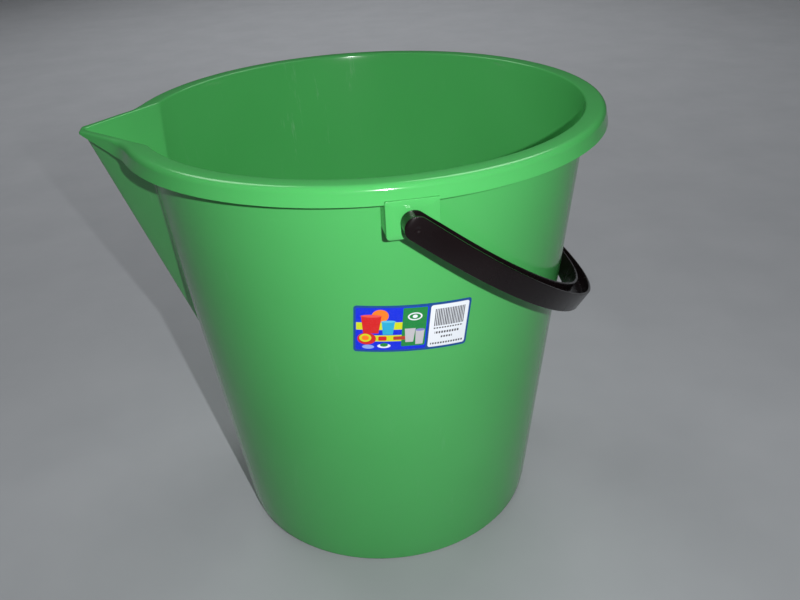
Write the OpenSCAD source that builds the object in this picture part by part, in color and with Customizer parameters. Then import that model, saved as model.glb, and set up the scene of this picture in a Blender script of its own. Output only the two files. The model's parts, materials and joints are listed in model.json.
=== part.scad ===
// Pouring bucket with a V-shaped spout and a swinging channel handle.
// Origin: centre of the base. +Z is up, the spout points to -X, the handle pivots on the Y axis direction.

/* [Bucket] */
// Height from the base to the top of the rim
bucket_h = 315; // [300:1:330]
// Outer radius of the wall, projected to the base plane
base_r = 116.6; // [112:0.2:120]
// Outer radius of the wall, projected to the rim plane
top_r = 151.4; // [149:0.2:153]
// Wall thickness
wall_t = 2.2; // [2:0.1:3]
// Thickness of the base
base_t = 3; // [2.5:0.1:4]
// Radius of the outside edge between base and wall
base_edge_r = 3; // [2:0.5:4]
// Radius of the inside corner between base and wall
inside_corner_r = 5; // [3:0.5:8]

/* [Rim] */
// Outer radius of the skirt at its lower edge
skirt_r = 164.1; // [163:0.1:164.3]
// Depth of the skirt below the top of the rim
skirt_depth = 10.8; // [9:0.1:12]
// How far the skirt leans outwards from its top to its lower edge
skirt_flare = 1.3; // [0.5:0.1:2]
// Thickness of the skirt and of the flat flange
rim_t = 2.4; // [2:0.1:2.6]
// Outer edge radius on top of the rim
rim_edge_r = 4; // [3:0.5:5]
// Inner edge radius on top of the rim
lip_edge_r = 1.3; // [0.8:0.1:2]

/* [Spout] */
// Distance from the axis to the inside corner of the spout at the rim plane
spout_reach = 186.5; // [182:0.5:188]
// Half of the angle between the two spout faces, seen from above
spout_half_angle = 47.5; // [45:0.5:50]
// Lean of the spout ridge from the vertical
spout_lean = 18.4; // [17:0.1:20]
// Inside radius along the ridge of the spout
spout_ridge_r = 5.5; // [4:0.5:7]
// Distance from the spout's inside face to the outside of its skirt
spout_lip = 5.2; // [5:0.1:6]
// Distance from the axis to the blunt tip of the spout
spout_tip = 188; // [187.5:0.1:189]
// Depth of the skirt at the tip of the spout
spout_tip_depth = 1.8; // [1.5:0.1:3]
// Length along X over which the skirt grows to its full depth
spout_skirt_run = 24; // [18:1:28]

/* [Handle lugs] */
// Width of a lug
lug_w = 29.5; // [26:0.5:32]
// Height of the lower edge of a lug above the base
lug_bottom = 284.6; // [283:0.2:286]
// Height of the step at the top of a lug
lug_top = 306.6; // [305:0.2:308]
// Distance from the axis to the outer face of a lug
lug_y = 164.6; // [164.4:0.1:165]
// Thickness of the lug's front plate
lug_t = 3.2; // [3:0.1:4]
// Thickness of the lug's side webs
lug_web_t = 2.2; // [2:0.1:3]
// Corner radius at the foot of a lug
lug_corner_r = 2; // [1:0.5:3]

/* [Handle] */
// Height of the pivot axis above the base
pivot_z = 294.5; // [294:0.5:295]
// Radius of the handle's pivot pin
pin_r = 4; // [3.5:0.1:4.5]
// Radial clearance of the pin in the bore of the lug
pin_clearance = 0.06; // [0.03:0.01:0.1]
// Length of the pin
pin_l = 9.4; // [8:0.2:10]
// Width of the handle strip, measured along its pivot end's diameter
strip_w = 14; // [13:0.5:15]
// Outside radius of the handle's bend, and half of its outside width
bend_outer_r = 176.4; // [175.5:0.1:177]
// Inside radius of the handle's bend
bend_inner_r = 165.2; // [165.2:0.1:166]
// Distance from the pivot axis to the outside of the handle's bend
handle_reach = 193; // [192:0.2:194]
// Distance from the pivot axis to the inside of the handle's bend
grip_reach = 180; // [179.8:0.1:181]
// Distance from the axis to the inner face of the handle's end
handle_end_y = 166.2; // [166:0.1:167]
// Thickness of the channels' outer wall
channel_outer_t = 1.8; // [1.6:0.1:3]
// Thickness of the channels' inner wall
channel_inner_t = 1.6; // [1.6:0.1:2.5]
// Depth of the channel on the upper side of the strip
channel_depth = 7.5; // [6:0.5:8]
// Thickness of the wall that closes the upper channel round the pivot end
channel_end_t = 1.8; // [1.6:0.1:2.5]
// How far the upper channel is open past the pivot axis
channel_end_open = 4.5; // [3:0.5:4.5]
// Depth of the channel on the under side of the strip
under_depth = 4.5; // [3:0.5:4.5]
// Distance from the pivot axis to the start of the under channel
under_start = 4; // [3:1:10]
// Hang angle of the handle below the horizontal
handle_rest = 38.4; // [37.5:0.1:38.4]

/* [Label] */
// Width of the label
label_w = 72; // [60:1:80]
// Height of the label
label_h = 34; // [30:1:40]
// Height of the label's centre above the base
label_z = 214.6; // [205:0.2:225]
// Sideways shift of the label's centre towards +X
label_x = 2; // [0:0.5:4]
// How far the label is stuck on askew
label_tilt = 5; // [0:0.5:6]
// Thickness of the label
label_t = 0.15; // [0.1:0.05:0.3]

/* [Hidden] */
$fn = 96;
arc_steps = 6;
wall_slope = (top_r - base_r) / bucket_h;
spout_ridge_len = 190;
spout_side = 150;
// Half angle of the spout in a cut square to its ridge
spout_cut_angle = atan(tan(spout_half_angle) / cos(spout_lean));
skirt_top_r = skirt_r - skirt_flare;
pin_hole_r = pin_r + pin_clearance;

// Outer radius of the tapered wall at height z
function wall_r(z) = base_r + wall_slope * z;

// Points of an arc about [cx, cz], from angle a0 to angle a1
function arc(cx, cz, r, a0, a1) =
    [for (i = [0:arc_steps]) [cx + r * cos(a0 + (a1 - a0) * i / arc_steps),
                              cz + r * sin(a0 + (a1 - a0) * i / arc_steps)]];

// Space inside the bucket, up to a little above the rim
module bucket_interior() {
    inner_r = base_r - wall_t;
    corner_x = inner_r + wall_slope * (base_t + inside_corner_r) - inside_corner_r;
    rotate_extrude()
        polygon(concat(
            [[0, base_t]],
            arc(corner_x, base_t + inside_corner_r, inside_corner_r, -90, 0),
            arc(top_r - wall_t + lip_edge_r, bucket_h - lip_edge_r, lip_edge_r, 180, 90),
            [[top_r - wall_t + lip_edge_r, bucket_h + 5], [0, bucket_h + 5]]));
}

// Wall, base, flange and skirt, filled solid inside
module round_outside() {
    skirt_low = bucket_h - skirt_depth;
    flange_low = bucket_h - rim_t;
    rotate_extrude()
        polygon(concat(
            [[0, 0]],
            arc(base_r - base_edge_r, base_edge_r, base_edge_r, -90, 0),
            [[wall_r(flange_low), flange_low],
             [skirt_top_r - rim_t, flange_low],
             [skirt_r - rim_t, skirt_low],
             [skirt_r, skirt_low]],
            arc(skirt_top_r - rim_edge_r, bucket_h - rim_edge_r, rim_edge_r, 0, 90),
            [[0, bucket_h]]));
}

// Outline of the spout seen square to its ridge, grown by "grow", corner near the origin, opening to +X
module spout_section(grow) {
    centre_x = spout_ridge_r / sin(spout_cut_angle);
    ridge = arc(centre_x, 0, spout_ridge_r + grow, 90 + spout_cut_angle, 270 - spout_cut_angle);
    side_x = spout_side * cos(spout_cut_angle);
    side_y = spout_side * sin(spout_cut_angle);
    polygon(concat(
        ridge,
        [[ridge[arc_steps].x + side_x, ridge[arc_steps].y - side_y],
         [ridge[0].x + side_x, ridge[0].y + side_y]]));
}

// Leaning spout body, grown by "grow" from the inside faces, up to height "top"
module spout_prism(grow, top) {
    intersection() {
        translate([-spout_reach, 0, bucket_h])
            rotate([0, -spout_lean, 0])
                translate([0, 0, -spout_ridge_len])
                    linear_extrude(spout_ridge_len + 60)
                        spout_section(grow);
        translate([-200, -100, 60])
            cube([125, 200, top - 60]);
    }
}

// Upright V-shaped prism for the spout's flange and skirt, "grow" outside the inside faces
module lip_prism(grow, low, high) {
    apex = spout_reach + grow / sin(spout_half_angle);
    run = 60;
    intersection() {
        translate([0, 0, low])
            linear_extrude(high - low)
                polygon([[-apex, 0],
                         [-apex + run, run * tan(spout_half_angle)],
                         [-apex + run, -run * tan(spout_half_angle)]]);
        translate([-spout_tip + spout_lip - grow, -100, low - 1])
            cube([200, 200, high - low + 2]);
    }
}

// Space under the rising part of the spout's skirt
module skirt_relief() {
    low = bucket_h - skirt_depth - 5;
    rotate([90, 0, 0])
        translate([0, 0, -60])
            linear_extrude(120)
                polygon([[-spout_tip - 5, low],
                         [-spout_tip - 5, bucket_h - spout_tip_depth],
                         [-spout_tip, bucket_h - spout_tip_depth],
                         [-spout_tip + spout_skirt_run, bucket_h - skirt_depth],
                         [-spout_tip + spout_skirt_run, low]]);
}

// Flange and skirt that run round the spout
module spout_lip_ring() {
    low = bucket_h - skirt_depth;
    flange_low = bucket_h - rim_t;
    difference() {
        lip_prism(spout_lip, low, bucket_h);
        lip_prism(spout_lip - rim_t, low - 1, flange_low);
        translate([0, 0, low - 1])
            cylinder(h = flange_low - low + 1, r = skirt_r - rim_t);
        cylinder(h = bucket_h, r = top_r);
        skirt_relief();
    }
}

// Round flange and skirt, opened where the spout's skirt takes over
module round_shell() {
    difference() {
        round_outside();
        difference() {
            lip_prism(spout_lip - rim_t, bucket_h - skirt_depth - 1, bucket_h - rim_t);
            cylinder(h = bucket_h, r = top_r);
        }
    }
}

// Lug at +Y: front plate and two side webs, open below
module lug() {
    low_r = lug_corner_r;
    h = lug_top - lug_bottom;
    translate([0, lug_y, lug_bottom])
        rotate([90, 0, 0])
            linear_extrude(lug_t) {
                translate([-lug_w / 2, low_r])
                    square([lug_w, h - low_r]);
                translate([-lug_w / 2 + low_r, 0])
                    square([lug_w - 2 * low_r, h]);
                for (side = [-1, 1])
                    translate([side * (lug_w / 2 - low_r), low_r])
                        circle(r = low_r, $fn = 32);
            }
    web_in = wall_r(lug_bottom) - 1.5;
    web_out = lug_y - lug_t + 0.5;
    web_top = bucket_h - rim_t + 0.3;
    for (side = [-1, 1])
        translate([side * (lug_w / 2 - lug_web_t / 2) - lug_web_t / 2, 0, 0])
            rotate([90, 0, 90])
                linear_extrude(lug_web_t)
                    polygon([[web_in, lug_bottom + low_r],
                             [web_out, lug_bottom + low_r],
                             [web_out, lug_top - 0.5],
                             [web_out - 2.5, lug_top - 0.5],
                             [web_out - 2.5, web_top],
                             [web_in, web_top]]);
}

module bucket_body() {
    color("limegreen")
    difference() {
        union() {
            round_shell();
            spout_prism(wall_t, bucket_h);
            spout_lip_ring();
            lug();
            mirror([0, 1, 0])
                lug();
        }
        bucket_interior();
        spout_prism(0, bucket_h + 5);
        translate([0, lug_y + 1, pivot_z])
            rotate([90, 0, 0])
                cylinder(h = lug_t + 2, r = pin_hole_r);
        translate([0, -lug_y + lug_t + 1, pivot_z])
            rotate([90, 0, 0])
                cylinder(h = lug_t + 2, r = pin_hole_r);
    }
}

// Outline of the handle seen square to its plane: two straight arms and a half-round bend
module bail(r, reach) {
    translate([reach - r, 0])
        circle(r = r, $fn = 180);
    translate([0, -r])
        square([reach - r, 2 * r]);
}

// Plan of the space between the outer and inner wall of the strip, from "start" onwards
module channel_plan(start) {
    difference() {
        bail(bend_outer_r - channel_outer_t, handle_reach - channel_outer_t);
        bail(handle_end_y + channel_inner_t, grip_reach + channel_inner_t);
        translate([-bend_outer_r, -bend_outer_r])
            square([bend_outer_r + start, 2 * bend_outer_r]);
    }
}

// Rounded end of the upper channel, over the pivot at +Y
module channel_end() {
    half = strip_w / 2;
    inner_y = handle_end_y + channel_inner_t;
    outer_y = bend_outer_r - channel_outer_t;
    translate([0, outer_y, 0])
        rotate([90, 0, 0])
            linear_extrude(outer_y - inner_y)
                intersection() {
                    union() {
                        circle(r = half - channel_end_t);
                        translate([-channel_end_open, 0])
                            square([channel_end_open + 1, strip_w]);
                    }
                    translate([-half, half - channel_depth])
                        square([half + 0.5, strip_w]);
                }
}

// Plan of the whole strip, straight arms and bend
module strip_plan() {
    difference() {
        bail(bend_outer_r, handle_reach);
        bail(bend_inner_r, grip_reach);
        translate([-bend_outer_r, -bend_outer_r])
            square([bend_outer_r, 2 * bend_outer_r]);
        translate([-1, -handle_end_y])
            square([1 + grip_reach - bend_inner_r, 2 * handle_end_y]);
    }
}

// Handle in its own plane, pivot axis along Y through the origin
module flat_handle() {
    half = strip_w / 2;
    difference() {
        union() {
            translate([0, 0, -half])
                linear_extrude(strip_w)
                    strip_plan();
            for (side = [-1, 1])
                translate([0, side * (bend_outer_r + handle_end_y) / 2, 0])
                    rotate([90, 0, 0])
                        cylinder(h = bend_outer_r - handle_end_y, r = half, center = true);
        }
        translate([0, 0, half - channel_depth])
            linear_extrude(strip_w)
                channel_plan(0);
        translate([0, 0, -half - 1])
            linear_extrude(under_depth + 1)
                channel_plan(under_start);
        channel_end();
        mirror([0, 1, 0])
            channel_end();
    }
    for (side = [-1, 1])
        translate([0, side * (handle_end_y - pin_l / 2 + 0.5), 0])
            rotate([90, 0, 0])
                cylinder(h = pin_l + 1, r = pin_r, center = true);
}

module carry_handle() {
    color("#241c1e")
    translate([0, 0, pivot_z])
        rotate([0, handle_rest, 0])
            flat_handle();
}

// Thin conical shell lying on the outside of the wall
module wall_skin(low, high, t) {
    rotate_extrude()
        polygon([[wall_r(low), low],
                 [wall_r(low) + t, low],
                 [wall_r(high) + t, high],
                 [wall_r(high), high]]);
}

module product_label() {
    color("royalblue")
    intersection() {
        wall_skin(label_z - label_h, label_z + label_h, label_t);
        translate([label_x, -top_r, label_z])
            rotate([0, label_tilt, 0])
                cube([label_w, 120, label_h], center = true);
    }
}

bucket_body();
carry_handle();
product_label();
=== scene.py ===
"""Looks of the green pouring bucket, its brown-black handle and its printed label."""
import json
import math

import bpy
import numpy as np
from mathutils import Matrix, Vector


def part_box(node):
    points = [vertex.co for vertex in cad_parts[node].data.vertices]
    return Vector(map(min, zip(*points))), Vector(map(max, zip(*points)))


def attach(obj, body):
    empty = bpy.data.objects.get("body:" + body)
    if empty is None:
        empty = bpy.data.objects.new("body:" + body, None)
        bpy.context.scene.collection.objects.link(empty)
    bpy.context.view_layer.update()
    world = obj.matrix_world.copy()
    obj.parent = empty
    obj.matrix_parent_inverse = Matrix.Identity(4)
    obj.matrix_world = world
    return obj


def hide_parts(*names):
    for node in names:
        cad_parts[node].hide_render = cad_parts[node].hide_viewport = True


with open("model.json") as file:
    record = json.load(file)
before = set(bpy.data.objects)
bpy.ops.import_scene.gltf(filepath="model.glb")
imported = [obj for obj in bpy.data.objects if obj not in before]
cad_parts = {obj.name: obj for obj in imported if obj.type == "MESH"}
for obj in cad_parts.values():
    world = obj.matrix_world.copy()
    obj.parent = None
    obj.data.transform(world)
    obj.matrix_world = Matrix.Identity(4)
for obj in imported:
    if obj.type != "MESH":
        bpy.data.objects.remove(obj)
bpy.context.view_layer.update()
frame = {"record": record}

MM = 0.001

# ---- sizes from the frame, in millimetres ----
body_low, body_high = (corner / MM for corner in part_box("bucket_body"))
handle_low, handle_high = (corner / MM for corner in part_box("carry_handle"))
RIM_Z = body_high.z
SKIRT_R = body_high.x
TIP = -body_low.x
LUG_Y = body_high.y
BEND_OUTER_R = handle_high.y
swing = frame["record"]["behaviour"]["joints"][0]
PIVOT_Z = swing["pos_m"][2] / MM

# ---- the same design dimensions as the CAD, in millimetres ----
BASE_R, TOP_R, WALL_T, BASE_T = 116.6, 151.4, 2.2, 3.0
BASE_EDGE_R, INSIDE_CORNER_R = 3.0, 5.0
SKIRT_DEPTH, SKIRT_FLARE, RIM_T, RIM_EDGE_R, LIP_EDGE_R = 10.8, 1.3, 2.4, 4.0, 1.3
SPOUT_REACH, HALF_ANGLE, SPOUT_LEAN = 186.5, math.radians(47.5), math.tan(math.radians(18.4))
SPOUT_LIP, TIP_DEPTH, SKIRT_RUN = 5.2, 1.8, 24.0
LUG_W, LUG_BOTTOM, LUG_TOP, LUG_T, LUG_WEB_T, LUG_CORNER_R = 29.5, 284.6, 306.6, 3.2, 2.2, 2.0
PIN_R, BORE_R, PIN_L = 4.0, 4.06, 9.4
STRIP_W, BEND_INNER_R, HANDLE_REACH, GRIP_REACH, HANDLE_END_Y = 14.0, 165.2, 193.0, 180.0, 166.2
WALL_OUTER_T, WALL_INNER_T, DEPTH, END_OPEN, UNDER_DEPTH, UNDER_START = 1.8, 1.6, 7.5, 4.5, 4.5, 4.0
HANDLE_REST = math.radians(38.4)
LABEL_W, LABEL_H, LABEL_X, LABEL_Z, LABEL_TILT, LABEL_T = 72.0, 34.0, 2.0, 214.6, math.radians(5.0), 0.15

WALL_SLOPE = (TOP_R - BASE_R) / RIM_Z


def smoothstep(low, high, x):
    t = np.clip((x - low) / (high - low), 0.0, 1.0)
    return t * t * (3.0 - 2.0 * t)


def smooth_max(a, b, k):
    """The larger of a and b, with the step between them rounded over about k."""
    h = np.clip(0.5 + 0.5 * (b - a) / k, 0.0, 1.0)
    return a + (b - a) * h + k * h * (1.0 - h)


def new_object(name, vertices, faces, smooth_angle=None):
    mesh = bpy.data.meshes.new(name)
    mesh.from_pydata([tuple(v) for v in np.asarray(vertices, float) * MM], [], faces)
    mesh.validate()
    obj = bpy.data.objects.new(name, mesh)
    bpy.context.scene.collection.objects.link(obj)
    mesh.shade_smooth()
    if smooth_angle is not None:
        mesh.set_sharp_from_angle(angle=math.radians(smooth_angle))
    return obj


def grid_faces(rows, columns, closed_rows=False, closed_columns=False):
    """Quads between consecutive rows of a vertex grid stored row by row."""
    faces = []
    for i in range(rows if closed_rows else rows - 1):
        for j in range(columns if closed_columns else columns - 1):
            a, b = i, (i + 1) % rows
            c, d = j, (j + 1) % columns
            faces.append((a * columns + c, a * columns + d, b * columns + d, b * columns + c))
    return faces


def join(target, others):
    """Adds the other meshes to the target object and deletes their objects."""
    with bpy.context.temp_override(active_object=target, selected_editable_objects=[target, *others]):
        bpy.ops.object.join()
    return target


# ---- bucket body ----
def wall_r(z):
    return BASE_R + WALL_SLOPE * z


def spout_r(apex, angle, ridge):
    """Distance from the axis to the V of the spout, at a plan angle from the spout's direction."""
    turn = np.minimum(np.abs(angle), math.pi / 2 - HALF_ANGLE)
    side = np.sqrt(np.sin(turn) ** 2 + ridge ** 2)
    return apex * math.tan(HALF_ANGLE) / (side + np.cos(turn) * math.tan(HALF_ANGLE))


def plan_r(circle, offset, z, angle, ridge, blend, upright=False, tip=None):
    """Radius of an outline: the round wall joined with the spout grown by offset."""
    lean = 0.0 if upright else SPOUT_LEAN * (RIM_Z - z)
    apex = SPOUT_REACH + offset / math.sin(HALF_ANGLE) - lean
    r = smooth_max(circle, spout_r(apex, angle, ridge), blend)
    if tip is not None:
        flat = tip / np.maximum(np.cos(angle), 0.3)
        r = -smooth_max(-r, -flat, 1.2)
    return r


def body_profile(angle):
    """Rings of (radius, height) from the middle of the underside to the middle of the inside."""
    ridge_in, ridge_out, ridge_lip = 0.0115, 0.0155, 0.004
    wall_blend, lip_blend = 0.9, 7.0
    on_spout = 1.0 - smoothstep(math.radians(9.5), math.radians(13.5), np.abs(angle))
    skirt_top = SKIRT_R - SKIRT_FLARE
    level = np.ones_like(angle)

    outline = plan_r(SKIRT_R, SPOUT_LIP, RIM_Z, angle, ridge_lip, lip_blend, True, TIP)
    from_tip = np.clip((TIP - outline * np.cos(angle)) / SKIRT_RUN, 0.0, 1.0)
    depth = TIP_DEPTH + (SKIRT_DEPTH - TIP_DEPTH) * from_tip
    skirt_low = RIM_Z - depth
    flange_low = RIM_Z - np.minimum(RIM_T, 0.8 * depth)
    edge_r = np.minimum(RIM_EDGE_R + (1.9 - RIM_EDGE_R) * on_spout, 0.7 * depth)
    lip_edge = LIP_EDGE_R + (0.8 - LIP_EDGE_R) * on_spout

    rings = []
    for r in (20, 50, 80, 104):
        rings.append((r * level, 0.0 * level))
    for step in range(5):
        turn = math.radians(-90 + 22.5 * step)
        r = BASE_R - BASE_EDGE_R + BASE_EDGE_R * math.cos(turn)
        rings.append((r * level, (BASE_EDGE_R + BASE_EDGE_R * math.sin(turn)) * level))
    heights = list(np.linspace(8, 130, 12)) + list(np.linspace(133, RIM_Z - 4, 70))
    for z in heights:
        rings.append((plan_r(wall_r(z), WALL_T, z, angle, ridge_out, wall_blend), z * level))
    root = plan_r(wall_r(RIM_Z - 3), WALL_T, RIM_Z - 3, angle, ridge_out, wall_blend)
    for lift, out in ((0.9, 0.05), (0.3, 0.3), (0.0, 0.9)):
        rings.append((root + out * np.minimum(1.0, 0.4 * depth),
                      flange_low - lift * np.minimum(1.0, 0.3 * depth)))
    inner_top = plan_r(skirt_top - RIM_T, SPOUT_LIP - RIM_T, RIM_Z, angle,
                       ridge_lip, lip_blend, True, TIP - 0.6)
    inner_low = plan_r(SKIRT_R - RIM_T, SPOUT_LIP - RIM_T + 0.3, RIM_Z, angle,
                       ridge_lip, lip_blend, True, TIP - 0.5)
    inner_top = np.maximum(inner_top, root + 1.0)
    inner_low = np.maximum(inner_low, inner_top + 0.1)
    rings.append((inner_top - 0.6, flange_low))
    rings.append((inner_top, flange_low - 0.08 * depth))
    rings.append((inner_low, skirt_low + 0.3 * (depth - 1.6) / depth))
    outer_low = np.maximum(outline, inner_low + 0.2)
    rings.append((inner_low + 0.3 * (outer_low - inner_low), skirt_low))
    rings.append((outer_low - 0.25 * (outer_low - inner_low), skirt_low))
    rings.append((outer_low, skirt_low + 0.25))
    shoulder = plan_r(skirt_top, SPOUT_LIP - 0.3, RIM_Z, angle,
                      ridge_lip, lip_blend, True, TIP - 0.05)
    for share in (0.35, 0.7):
        z = skirt_low + share * (depth - edge_r)
        rings.append((outer_low + share * (shoulder - outer_low), z))
    for step in range(8):
        turn = math.radians(90 * step / 7)
        rings.append((shoulder - edge_r * (1 - math.cos(turn)), RIM_Z - edge_r * (1 - math.sin(turn))))
    inner_edge = plan_r(TOP_R - WALL_T + LIP_EDGE_R, 0.8, RIM_Z, angle, ridge_in, wall_blend)
    top_flat = shoulder - edge_r
    rings.append((top_flat + 0.5 * (inner_edge - top_flat), RIM_Z * level))
    for step in range(5):
        turn = math.radians(90 + 90 * step / 4)
        z = RIM_Z - lip_edge * (1 - math.sin(turn))
        off = lip_edge * (1 + math.cos(turn))
        circle = TOP_R - WALL_T + LIP_EDGE_R * (1 + math.cos(turn))
        rings.append((plan_r(circle, off, RIM_Z, angle, ridge_in, wall_blend), z))
    floor_z = BASE_T + INSIDE_CORNER_R
    inside = [z for z in reversed(heights) if z > floor_z + 4]
    for z in inside:
        rings.append((plan_r(wall_r(z) - WALL_T, 0.0, z, angle, ridge_in, wall_blend), z * level))
    corner = wall_r(floor_z) - WALL_T - INSIDE_CORNER_R
    for step in range(6):
        turn = math.radians(-90 * step / 5)
        rings.append(((corner + INSIDE_CORNER_R * math.cos(turn)) * level,
                      (floor_z + INSIDE_CORNER_R * math.sin(turn)) * level))
    for r in (92, 64, 36, 12):
        rings.append((r * level, BASE_T * level))
    return rings


def round_body():
    near = np.radians(np.arange(-22.0, 22.01, 0.32))
    rest = np.radians(np.linspace(22.0, 338.0, 212)[1:-1])
    angle = np.concatenate([near, rest])
    wrapped = (angle + math.pi) % (2 * math.pi) - math.pi
    rings = body_profile(wrapped)
    points = [np.column_stack([-r * np.cos(angle), r * np.sin(angle), z]) for r, z in rings]
    columns = len(angle)
    vertices = np.concatenate(points + [[[0, 0, 0]], [[0, 0, BASE_T]]])
    faces = grid_faces(len(rings), columns, closed_columns=True)
    last = (len(rings) - 1) * columns
    under, inside = len(vertices) - 2, len(vertices) - 1
    for j in range(columns):
        after = (j + 1) % columns
        faces.append((under, after, j))
        faces.append((inside, last + j, last + after))
    return new_object("bucket_moulding", vertices, faces, 50)


def lug_reach(turn):
    """Distance from the bore's centre to the edge of the lug's plate, in direction turn."""
    c, s = math.cos(turn), math.sin(turn)
    up, down, half = LUG_TOP - PIVOT_Z, PIVOT_Z - LUG_BOTTOM, LUG_W / 2
    side = half / max(abs(c), 1e-6)
    end = (up if s > 0 else down) / max(abs(s), 1e-6)
    reach = min(side, end)
    corner = Vector((math.copysign(half - LUG_CORNER_R, c), -(down - LUG_CORNER_R)))
    along = Vector((c, s))
    tangent = along.dot(corner)
    root = tangent ** 2 - corner.length_squared + LUG_CORNER_R ** 2
    if s < 0 and root > 0:
        rounded = tangent + math.sqrt(root)
        at = along * reach
        if abs(at.x) > half - LUG_CORNER_R and -at.y > down - LUG_CORNER_R:
            reach = rounded
    return reach


def lug_plate():
    """Front plate of the lug at -Y, with the bore of the handle's pin."""
    turns = [2 * math.pi * i / 144 for i in range(144)]
    rounding = 0.45
    vertices, rings = [], []

    def ring(radius_of, y):
        rings.append([(radius_of(t) * math.cos(t), y, PIVOT_Z + radius_of(t) * math.sin(t)) for t in turns])

    front, back = -LUG_Y, -LUG_Y + LUG_T
    ring(lambda t: BORE_R, back)
    ring(lambda t: BORE_R, front + 0.4)
    ring(lambda t: BORE_R + 0.12, front + 0.12)
    ring(lambda t: BORE_R + 0.4, front)
    ring(lambda t: 0.5 * (BORE_R + lug_reach(t)), front)
    ring(lambda t: lug_reach(t) - rounding, front)
    ring(lambda t: lug_reach(t) - 0.3 * rounding, front + 0.3 * rounding)
    ring(lambda t: lug_reach(t), front + rounding)
    ring(lambda t: lug_reach(t), back)
    for points in rings:
        vertices.extend(points)
    return new_object("lug_plate", vertices, grid_faces(len(rings), len(turns), True, True), 40)


def lug_web(x, reach, low, high):
    """Piece of a side web of the lug at -Y, from reach to inside the thickness of the wall."""
    half, sunk = LUG_WEB_T / 2, 1.2
    corners = [(x + across, y, z) for across in (-half, half)
               for y, z in ((reach, low), (reach, high),
                            (sunk - wall_r(low), low), (sunk - wall_r(high), high))]
    faces = [(0, 1, 3, 2), (4, 6, 7, 5), (0, 4, 5, 1), (2, 3, 7, 6), (0, 2, 6, 4), (1, 5, 7, 3)]
    return new_object("lug_web", corners, faces, 30)


def lug(side):
    plate = lug_plate()
    webs = []
    out = -LUG_Y + LUG_T - 0.5
    for edge in (-1, 1):
        x = edge * (LUG_W / 2 - LUG_WEB_T / 2)
        webs.append(lug_web(x, out, LUG_BOTTOM + LUG_CORNER_R, LUG_TOP - 0.5))
        webs.append(lug_web(x, out + 2.5, LUG_TOP - 1.5, RIM_Z - RIM_T + 0.3))
    join(plate, webs)
    if side > 0:
        plate.data.transform(Matrix.Scale(-1, 4, (0, 1, 0)))
        plate.data.flip_normals()
    return plate


# ---- handle ----
def handle_stations():
    """Stations along the handle: (inner point, outer point, half height, distance past the pivot)."""
    half = STRIP_W / 2
    outer_mid, inner_mid = HANDLE_REACH - BEND_OUTER_R, GRIP_REACH - BEND_INNER_R
    arm = []
    for s in (-6.98, -6.9, -6.7, -6.4, -6.0, -5.5, -5.0, -4.8, -4.65, -4.5, -4.35, -4.2, -3.6, -2.6, -1.4):
        arm.append((s, math.sqrt(half ** 2 - s ** 2)))
    for s in (0.0, 1.5, 3.5, 3.75, 4.0, 4.25, 4.5, 6.5, 8.5, 10.5, 12.5, 14.4):
        arm.append((s, half))
    stations = []
    for s, h in arm:
        inner_y = HANDLE_END_Y - (HANDLE_END_Y - BEND_INNER_R) * smoothstep(4, 14.4, s)
        stations.append(((s, -inner_y), (s * (outer_mid / inner_mid if s > 0 else 1), -BEND_OUTER_R), h, s))
    for turn in np.radians(np.linspace(-90, 90, 121)[1:-1]):
        c, sn = math.cos(turn), math.sin(turn)
        stations.append(((inner_mid + BEND_INNER_R * c, BEND_INNER_R * sn),
                         (outer_mid + BEND_OUTER_R * c, BEND_OUTER_R * sn), half, 60.0))
    for inner, outer, h, s in reversed(stations[:len(arm)]):
        stations.append(((inner[0], -inner[1]), (outer[0], -outer[1]), h, s))
    return stations


def half_section(depth):
    """Upper half of the H-section as (side, distance from that side, height), side 0 outer and 1 inner."""
    half, edge = STRIP_W / 2, 0.5
    root, rim = min(0.8, 0.4 * depth), min(0.45, 0.4 * depth)
    low = half - depth
    points = []

    def corner(side, d, n, r, start, stop):
        for step in range(5):
            turn = math.radians(start + (stop - start) * step / 4)
            points.append((side, d + r * math.cos(turn), n + r * math.sin(turn)))

    corner(0, edge, half - edge, edge, 180, 90)
    corner(0, WALL_OUTER_T - rim, half - rim, rim, 90, 0)
    corner(0, WALL_OUTER_T + root, low + root, root, 180, 270)
    corner(1, WALL_INNER_T + root, low + root, root, 270, 180)
    corner(1, WALL_INNER_T - rim, half - rim, rim, 0, 90)
    corner(1, edge, half - edge, edge, 90, 180)
    return points


def h_section(depth, under_depth):
    """Closed outline of the strip, with a channel above and another below."""
    return half_section(depth) + [(side, d, -n) for side, d, n in reversed(half_section(under_depth))]


def handle_shell():
    half = STRIP_W / 2
    flat = 0.05
    vertices = []
    stations = handle_stations()
    for inner, outer, h, s in stations:
        depth = flat + (DEPTH - flat) * float(smoothstep(-END_OPEN - 0.3, -END_OPEN + 0.3, s))
        under = flat + (UNDER_DEPTH - flat) * float(smoothstep(UNDER_START - 0.5, UNDER_START + 0.5, s))
        inner, outer = Vector(inner), Vector(outer)
        across = inner - outer
        width = across.length
        across.normalize()
        dome = 0.9 * (max(0.0, -s) / half) ** 5
        for side, d, n in h_section(depth, under):
            share = d + dome * (1 - d / (width / 2)) if side == 0 and d < width / 2 else d
            point = outer + across * share if side == 0 else inner - across * d
            vertices.append((point.x, point.y, n * h / half))
    rings = len(stations)
    count = len(vertices) // rings
    faces = grid_faces(rings, count, closed_columns=True)
    faces.append(tuple(range(count))[::-1])
    faces.append(tuple((rings - 1) * count + i for i in range(count)))
    return new_object("handle_shell", vertices, faces, 55)


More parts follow.
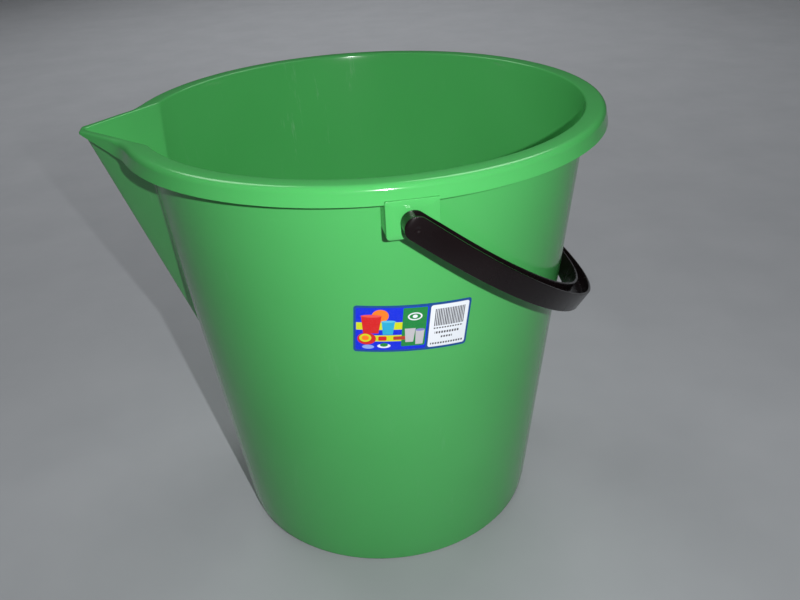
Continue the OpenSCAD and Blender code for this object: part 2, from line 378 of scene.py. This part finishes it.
def handle_pin(side):
    steps, chamfer = 48, 0.6
    start, stop = HANDLE_END_Y + 1.0, HANDLE_END_Y - PIN_L
    rings = [(start, PIN_R), (stop + chamfer, PIN_R), (stop, PIN_R - chamfer)]
    vertices = []
    for y, r in rings:
        for i in range(steps):
            turn = 2 * math.pi * i / steps
            vertices.append((r * math.cos(turn), side * y, r * math.sin(turn)))
    faces = grid_faces(len(rings), steps, closed_columns=True)
    faces.append(tuple(range(steps))[::-1])
    faces.append(tuple(2 * steps + i for i in range(steps)))
    if side < 0:
        faces = [face[::-1] for face in faces]
    return new_object("handle_pin", vertices, faces, 30)


def make_handle():
    handle = join(handle_shell(), [handle_pin(-1), handle_pin(1)])
    hang = Matrix.Translation((0, 0, PIVOT_Z * MM)) @ Matrix.Rotation(HANDLE_REST, 4, "Y")
    handle.data.transform(hang)
    handle.name = "handle_moulding"
    return handle


# ---- label ----
def label_point(across, up, lift):
    """Point of the label, across and up from its middle, lifted off the wall."""
    x = across * math.cos(LABEL_TILT) + up * math.sin(LABEL_TILT)
    z = LABEL_Z + up * math.cos(LABEL_TILT) - across * math.sin(LABEL_TILT)
    r = wall_r(z) + lift
    turn = (LABEL_X + x) / wall_r(LABEL_Z)
    return (r * math.sin(turn), -r * math.cos(turn), z)


def make_label():
    corner, rows, columns = 2.0, 29, 61
    front, back = [], []
    for i in range(rows):
        up = LABEL_H / 2 * math.sin(math.pi * (i / (rows - 1) - 0.5))
        past = max(0.0, abs(up) - (LABEL_H / 2 - corner))
        half_w = LABEL_W / 2 - corner + math.sqrt(max(corner ** 2 - past ** 2, 0.0))
        for j in range(columns):
            across = half_w * (2 * j / (columns - 1) - 1)
            front.append(label_point(across, up, LABEL_T))
            back.append(label_point(across, up, 0.02))
    faces = grid_faces(rows, columns)
    count = rows * columns
    faces += [tuple(count + v for v in face[::-1]) for face in faces]
    rim = list(range(columns))
    rim += [i * columns + columns - 1 for i in range(1, rows)]
    rim += [(rows - 1) * columns + j for j in range(columns - 2, -1, -1)]
    rim += [i * columns for i in range(rows - 2, 0, -1)]
    for a, b in zip(rim, rim[1:] + rim[:1]):
        faces.append((a, count + a, count + b, b))
    return new_object("printed_label", front + back, faces, 40)


# ---- materials ----
class Graph:
    """Short names for building a material's nodes."""

    def __init__(self, name):
        self.material = bpy.data.materials.new(name)
        self.material.use_nodes = True
        self.nodes = self.material.node_tree.nodes
        self.links = self.material.node_tree.links
        self.shader = self.nodes["Principled BSDF"]

    def add(self, kind, **settings):
        node = self.nodes.new(kind)
        for key, value in settings.items():
            setattr(node, key, value)
        return node

    def feed(self, socket, value):
        if isinstance(value, bpy.types.NodeSocket):
            self.links.new(value, socket)
        else:
            socket.default_value = value

    def math(self, operation, *values):
        node = self.add("ShaderNodeMath", operation=operation)
        for socket, value in zip(node.inputs, values):
            self.feed(socket, value)
        return node.outputs[0]

    def place(self):
        return self.add("ShaderNodeTexCoord").outputs["Object"]

    def noise(self, scale, detail=2.0, roughness=0.5, stretch=None):
        place = self.place()
        if stretch:
            mapping = self.add("ShaderNodeMapping")
            self.feed(mapping.inputs["Vector"], place)
            mapping.inputs["Scale"].default_value = stretch
            place = mapping.outputs["Vector"]
        node = self.add("ShaderNodeTexNoise")
        self.feed(node.inputs["Vector"], place)
        node.inputs["Scale"].default_value = scale
        node.inputs["Detail"].default_value = detail
        node.inputs["Roughness"].default_value = roughness
        return node.outputs["Fac"]

    def ramp(self, value, low, high, to_low=0.0, to_high=1.0):
        node = self.add("ShaderNodeMapRange", clamp=True)
        for key, number in (("From Min", low), ("From Max", high), ("To Min", to_low), ("To Max", to_high)):
            node.inputs[key].default_value = number
        self.feed(node.inputs["Value"], value)
        return node.outputs["Result"]

    def mix(self, share, a, b):
        node = self.add("ShaderNodeMix", data_type="RGBA")
        self.feed(node.inputs["Factor"], share)
        for socket, value in ((node.inputs["A"], a), (node.inputs["B"], b)):
            self.feed(socket, value if isinstance(value, bpy.types.NodeSocket) else (*value, 1.0))
        return node.outputs["Result"]

    def bump(self, height, strength, distance, normal=None):
        node = self.add("ShaderNodeBump")
        node.inputs["Strength"].default_value = strength
        node.inputs["Distance"].default_value = distance
        self.feed(node.inputs["Height"], height)
        if normal is not None:
            self.feed(node.inputs["Normal"], normal)
        return node.outputs["Normal"]


def bucket_plastic():
    """Glossy green polypropylene: faint flow variation, orange peel, a few scuffs and painted reflection
    streaks.
    """
    g = Graph("green_polypropylene")
    cloud = g.ramp(g.noise(5.0, 3.0), 0.3, 0.7)
    colour = g.mix(cloud, (0.069, 0.395, 0.100), (0.083, 0.435, 0.118))
    split = g.add("ShaderNodeSeparateXYZ")
    g.feed(split.inputs[0], g.place())
    square = g.math("ADD", g.math("MULTIPLY", split.outputs["X"], split.outputs["X"]),
                    g.math("MULTIPLY", split.outputs["Y"], split.outputs["Y"]))
    wall = g.math("ADD", g.math("MULTIPLY", split.outputs["Z"], WALL_SLOPE), (BASE_R - WALL_T / 2) * MM)
    outside = g.ramp(g.math("SUBTRACT", g.math("SQRT", square), wall), -0.0005, 0.0005, 1.0, 0.25)
    # Thin pale vertical streaks, strongest on the inside wall: partly scuff marks, partly painted
    # reflections of light.
    scratch_and_reflection_streak = g.ramp(g.noise(85.0, 5.0, 0.75, (1.0, 1.0, 0.10)), 0.60, 0.74)
    patch = g.ramp(g.noise(11.0, 3.0), 0.46, 0.62)
    scuff_and_painted_reflection = g.math("MULTIPLY", g.math("MULTIPLY", g.math("MULTIPLY", scratch_and_reflection_streak, patch), outside), 0.42)
    g.feed(g.shader.inputs["Base Color"], g.mix(scuff_and_painted_reflection, colour, (0.32, 0.55, 0.36)))
    gloss = g.ramp(g.noise(30.0, 4.0, 0.6), 0.3, 0.7, 0.13, 0.19)
    rough = g.math("ADD", gloss, g.math("MULTIPLY", scuff_and_painted_reflection, 0.5))
    g.feed(g.shader.inputs["Roughness"], rough)
    waves = g.bump(g.noise(28.0, 1.0), 0.08, 0.0010)
    g.feed(g.shader.inputs["Normal"], g.bump(g.noise(700.0, 1.0), 0.03, 0.0001, waves))
    g.shader.inputs["IOR"].default_value = 1.49
    g.shader.inputs["Specular IOR Level"].default_value = 0.36
    g.shader.inputs["Subsurface Weight"].default_value = 0.12
    g.shader.inputs["Subsurface Radius"].default_value = (0.3, 1.0, 0.35)
    g.shader.inputs["Subsurface Scale"].default_value = 0.004
    return g.material


def handle_plastic():
    """Glossy brown-black polypropylene with moulding waves and rubbed edges."""
    g = Graph("dark_polypropylene")
    cloud = g.ramp(g.noise(18.0, 3.0), 0.3, 0.7)
    colour = g.mix(cloud, (0.0042, 0.0023, 0.0028), (0.0068, 0.0040, 0.0046))
    rub = g.ramp(g.noise(70.0, 6.0, 0.75, (1.0, 1.0, 3.0)), 0.64, 0.78, 0.0, 0.35)
    g.feed(g.shader.inputs["Base Color"], g.mix(rub, colour, (0.016, 0.012, 0.013)))
    g.feed(g.shader.inputs["Roughness"], g.ramp(g.noise(45.0, 4.0, 0.6), 0.3, 0.7, 0.21, 0.31))
    waves = g.bump(g.noise(35.0, 1.0), 0.12, 0.0010)
    split = g.add("ShaderNodeSeparateXYZ")
    g.feed(split.inputs[0], g.place())
    off_x = g.math("MULTIPLY", split.outputs["X"], split.outputs["X"])
    off_z = g.math("SUBTRACT", split.outputs["Z"], PIVOT_Z * MM)
    off = g.math("SQRT", g.math("ADD", off_x, g.math("MULTIPLY", off_z, off_z)))
    gate = g.bump(g.ramp(off, 0.0007, 0.0019), 0.8, 0.0004, waves)
    g.feed(g.shader.inputs["Normal"], g.bump(g.noise(1100.0, 2.0), 0.08, 0.0002, gate))
    g.shader.inputs["IOR"].default_value = 1.49
    g.shader.inputs["Specular IOR Level"].default_value = 0.24
    return g.material


class LabelPrint(Graph):
    """Printed label: shapes are masks over millimetres across and up from its lower left corner."""

    def __init__(self):
        super().__init__("label_print")
        split = self.add("ShaderNodeSeparateXYZ")
        self.feed(split.inputs[0], self.place())
        turn = self.math("ARCTAN2", split.outputs["X"], self.math("MULTIPLY", split.outputs["Y"], -1.0))
        across = self.math("SUBTRACT", self.math("MULTIPLY", turn, wall_r(LABEL_Z)), LABEL_X)
        up = self.math("SUBTRACT", self.math("DIVIDE", split.outputs["Z"], MM), LABEL_Z)
        c, s = math.cos(LABEL_TILT), math.sin(LABEL_TILT)
        turned = self.math("SUBTRACT", self.math("MULTIPLY", across, c), self.math("MULTIPLY", up, s))
        self.u = self.math("ADD", turned, LABEL_W / 2)
        lifted = self.math("ADD", self.math("MULTIPLY", up, c), self.math("MULTIPLY", across, s))
        self.v = self.math("ADD", lifted, LABEL_H / 2)

    def edge(self, value, soft=0.12):
        """1 where value is below zero, with a narrow soft edge."""
        return self.ramp(value, -soft, soft, 1.0, 0.0)

    def rect(self, u0, v0, u1, v1, corner=0.0, soft=0.12):
        du = self.math("SUBTRACT", self.math("ABSOLUTE", self.math("SUBTRACT", self.u, (u0 + u1) / 2)),
                       (u1 - u0) / 2 - corner)
        dv = self.math("SUBTRACT", self.math("ABSOLUTE", self.math("SUBTRACT", self.v, (v0 + v1) / 2)),
                       (v1 - v0) / 2 - corner)
        if not corner:
            return self.edge(self.math("MAXIMUM", du, dv), soft)
        out_u, out_v = self.math("MAXIMUM", du, 0.0), self.math("MAXIMUM", dv, 0.0)
        far = self.math("SQRT", self.math("ADD", self.math("MULTIPLY", out_u, out_u),
                                          self.math("MULTIPLY", out_v, out_v)))
        inner = self.math("MINIMUM", self.math("MAXIMUM", du, dv), 0.0)
        return self.edge(self.math("SUBTRACT", self.math("ADD", far, inner), corner))

    def disc(self, u, v, ru, rv):
        du = self.math("DIVIDE", self.math("SUBTRACT", self.u, u), ru)
        dv = self.math("DIVIDE", self.math("SUBTRACT", self.v, v), rv)
        far = self.math("SQRT", self.math("ADD", self.math("MULTIPLY", du, du),
                                          self.math("MULTIPLY", dv, dv)))
        return self.edge(self.math("MULTIPLY", self.math("SUBTRACT", far, 1.0), min(ru, rv)))

    def vessel(self, u, v0, v1, half_low, half_high):
        """Tapered pot: half widths at the foot and at the rim."""
        grow = (half_high - half_low) / (v1 - v0)
        half = self.math("ADD", self.math("MULTIPLY", self.math("SUBTRACT", self.v, v0), grow), half_low)
        du = self.math("SUBTRACT", self.math("ABSOLUTE", self.math("SUBTRACT", self.u, u)), half)
        dv = self.math("SUBTRACT", self.math("ABSOLUTE", self.math("SUBTRACT", self.v, (v0 + v1) / 2)),
                       (v1 - v0) / 2)
        return self.edge(self.math("MAXIMUM", du, dv))


def label_material():
    g = LabelPrint()
    blue, border = (0.002, 0.022, 0.66), (0.006, 0.065, 0.26)
    lilac, violet = (0.25, 0.38, 0.78), (0.22, 0.22, 0.55)
    red, red_rim, dark_red = (0.62, 0.012, 0.012), (0.80, 0.08, 0.06), (0.45, 0.04, 0.02)
    cyan, cyan_rim, green = (0.02, 0.38, 0.62), (0.10, 0.50, 0.70), (0.010, 0.22, 0.045)
    yellow, orange = (0.62, 0.66, 0.01), (0.90, 0.20, 0.012)
    white, pale = (0.78, 0.82, 0.88), (0.50, 0.49, 0.52)
    ink, dash_ink, dust = (0.03, 0.03, 0.04), (0.07, 0.07, 0.08), (0.5, 0.5, 0.5)
    colour = g.mix(g.rect(1.3, 1.5, 44.6, 32.5, 1.0), border, blue)
    layers = [
        (g.rect(1.6, 16.6, 30.0, 22.0), yellow),
        (g.rect(9.0, 8.0, 33.0, 12.6), yellow),
        (g.rect(29.0, 4.0, 43.8, 32.0, 0.8), green),
        (g.disc(15.6, 26.6, 5.0, 4.6), orange),
        (g.vessel(10.4, 14.0, 26.6, 4.6, 6.0), red),
        (g.disc(10.4, 26.6, 6.0, 1.0), red_rim),
        (g.vessel(20.6, 13.0, 22.6, 3.0, 4.0), cyan),
        (g.disc(20.6, 22.6, 4.2, 0.8), cyan_rim),
        (g.disc(8.0, 10.0, 5.6, 4.4), red),
        (g.disc(7.2, 10.6, 3.6, 3.0), yellow),
        (g.disc(7.2, 10.6, 2.2, 1.8), orange),
        (g.rect(15.0, 8.6, 20.0, 11.8, 0.8), red),
        (g.disc(18.6, 4.6, 4.0, 1.6), white),
        (g.disc(18.6, 5.4, 2.4, 1.4), green),
        (g.disc(9.0, 3.9, 3.6, 1.5), lilac),
        (g.rect(24.0, 9.0, 32.0, 11.6, 0.6), dark_red),
        (g.vessel(34.0, 7.0, 17.0, 2.4, 3.3), pale),
        (g.vessel(40.2, 5.0, 15.6, 2.3, 2.8), pale),
        (g.disc(40.2, 15.6, 2.9, 0.9), violet),
        (g.disc(36.4, 25.6, 4.4, 2.8), white),
        (g.disc(36.4, 25.6, 3.5, 2.0), green),
        (g.disc(36.4, 25.6, 1.5, 1.2), white),
        (g.rect(45.8, 1.7, 70.6, 32.3, 1.6), white),
    ]
    for mask, paint in layers:
        colour = g.mix(mask, colour, paint)
    bars, left, pitch = 18, 48.8, 1.10
    widths = (0.58, 0.90, 0.66, 0.80)
    for i in range(bars):
        width = widths[(i * i + 3 * i) % 4]
        start = left + i * pitch
        colour = g.mix(g.rect(start, 17.0, start + width, 29.4, soft=0.05), colour, ink)
    for u0, u1, v0, v1 in ((48.6, 68.0, 14.9, 15.9), (49.6, 66.0, 11.2, 12.8),
                           (54.0, 61.5, 7.9, 9.3), (47.4, 69.6, 3.4, 4.7)):
        dashes = g.ramp(g.math("SINE", g.math("MULTIPLY", g.u, 3.6)), -0.6, -0.3)
        line = g.math("MULTIPLY", g.rect(u0, v0, u1, v1), dashes)
        colour = g.mix(line, colour, dash_ink)
    speck = g.ramp(g.noise(900.0, 3.0), 0.35, 0.65)
    colour = g.mix(g.math("MULTIPLY", speck, 0.02), colour, dust)
    g.feed(g.shader.inputs["Base Color"], colour)
    g.feed(g.shader.inputs["Roughness"], g.ramp(g.noise(60.0, 3.0), 0.3, 0.7, 0.14, 0.20))
    g.feed(g.shader.inputs["Normal"], g.bump(g.noise(120.0, 2.0), 0.05, 0.0002))
    g.shader.inputs["Specular IOR Level"].default_value = 0.30
    return g.material


def floor_material():
    g = Graph("pale_floor")
    cloud = g.ramp(g.noise(9.0, 3.0), 0.3, 0.7)
    g.feed(g.shader.inputs["Base Color"], g.mix(cloud, (0.37, 0.385, 0.41), (0.40, 0.415, 0.44)))
    g.feed(g.shader.inputs["Roughness"], g.ramp(g.noise(40.0), 0.3, 0.7, 0.75, 0.85))
    return g.material


# ---- stage ----
def make_camera():
    data = bpy.data.cameras.new("photo_camera")
    data.sensor_width, data.lens = 36.0, 36.19
    data.clip_start, data.clip_end = 0.01, 50.0
    camera = bpy.data.objects.new("photo_camera", data)
    heading, pitch, roll = math.radians(-9.46), math.radians(90 - 29.0), math.radians(-3.03)
    camera.matrix_world = (Matrix.Translation((-0.0728, -0.5455, 0.4626))
                           @ Matrix.Rotation(heading, 4, "Z")
                           @ Matrix.Rotation(pitch, 4, "X")
                           @ Matrix.Rotation(roll, 4, "Z"))
    bpy.context.scene.collection.objects.link(camera)
    bpy.context.scene.camera = camera


def make_light(name, place, aim, size, power, spread=180.0):
    data = bpy.data.lights.new(name, "AREA")
    data.shape = "DISK"
    data.size, data.energy, data.spread = size, power, math.radians(spread)
    light = bpy.data.objects.new(name, data)
    light.location = place
    light.rotation_mode = "QUATERNION"
    light.rotation_quaternion = (Vector(aim) - Vector(place)).to_track_quat("-Z", "Y")
    bpy.context.scene.collection.objects.link(light)


def make_stage():
    reach = 6.0
    bpy.ops.mesh.primitive_plane_add(size=2 * reach, location=(0, 0, 0))
    floor = bpy.context.active_object
    floor.name = "floor"
    floor.data.materials.append(floor_material())
    world = bpy.data.worlds.new("studio")
    world.use_nodes = True
    world.node_tree.nodes["Background"].inputs["Color"].default_value = (0.93, 0.96, 1.0, 1.0)
    world.node_tree.nodes["Background"].inputs["Strength"].default_value = 0.04
    bpy.context.scene.world = world
    bpy.context.scene.view_settings.view_transform = "Standard"
    make_light("key", (-0.015, -0.549, 0.477), (0, 0, 0.20), 0.008, 3.15)
    make_light("soft_fill", (0.7, -1.1, 1.6), (0, 0, 0.2), 1.2, 0.3)
    make_light("back_floor", (0.3, 2.6, 1.8), (0.3, 2.6, 0.0), 2.4, 9.0, 110.0)
    make_light("back_right", (1.0, 1.2, 2.3), (0, 0, 0.15), 1.2, 16.0)
    make_light("back_left", (-0.9, 1.3, 2.3), (0, 0, 0.15), 1.2, 16.0)


# ---- assembly ----
def dress(piece, material, body, node):
    piece.data.materials.clear()
    piece.data.materials.append(material)
    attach(piece, body)
    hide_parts(node)


make_camera()
body = join(round_body(), [lug(-1), lug(1)])
dress(body, bucket_plastic(), "bucket", "bucket_body")
dress(make_handle(), handle_plastic(), "handle", "carry_handle")
dress(make_label(), label_material(), "bucket", "product_label")
make_stage()
